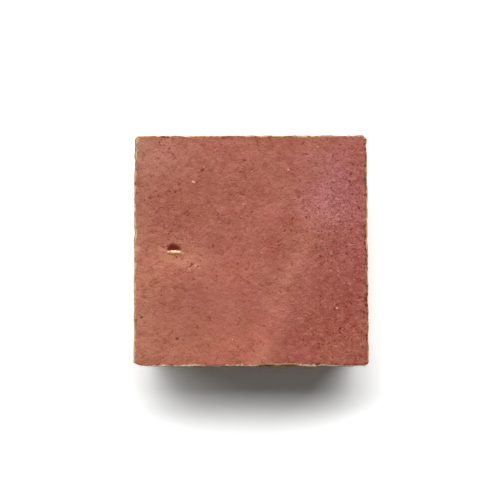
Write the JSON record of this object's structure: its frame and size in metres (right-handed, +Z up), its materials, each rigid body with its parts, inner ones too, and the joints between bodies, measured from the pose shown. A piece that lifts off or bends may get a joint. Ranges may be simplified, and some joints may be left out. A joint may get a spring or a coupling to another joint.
{
  "type": "wall tile",
  "caption": "Small square hand-cut zellige tile of fired clay with a glazed face, chipped edges and sides hammered in under the face.",
  "frame": {"origin": "the middle of the back, which lies on the floor", "axes": "+Z up through the glazed face, +X to the right along the face's near edge, +Y towards its far edge"},
  "size_m": [0.0504, 0.0495, 0.0105],
  "materials": {
    "glazed_clay": "satin"
  },
  "bodies": {
    "root": {"tile": "glazed_clay"}
  },
  "joints": []
}
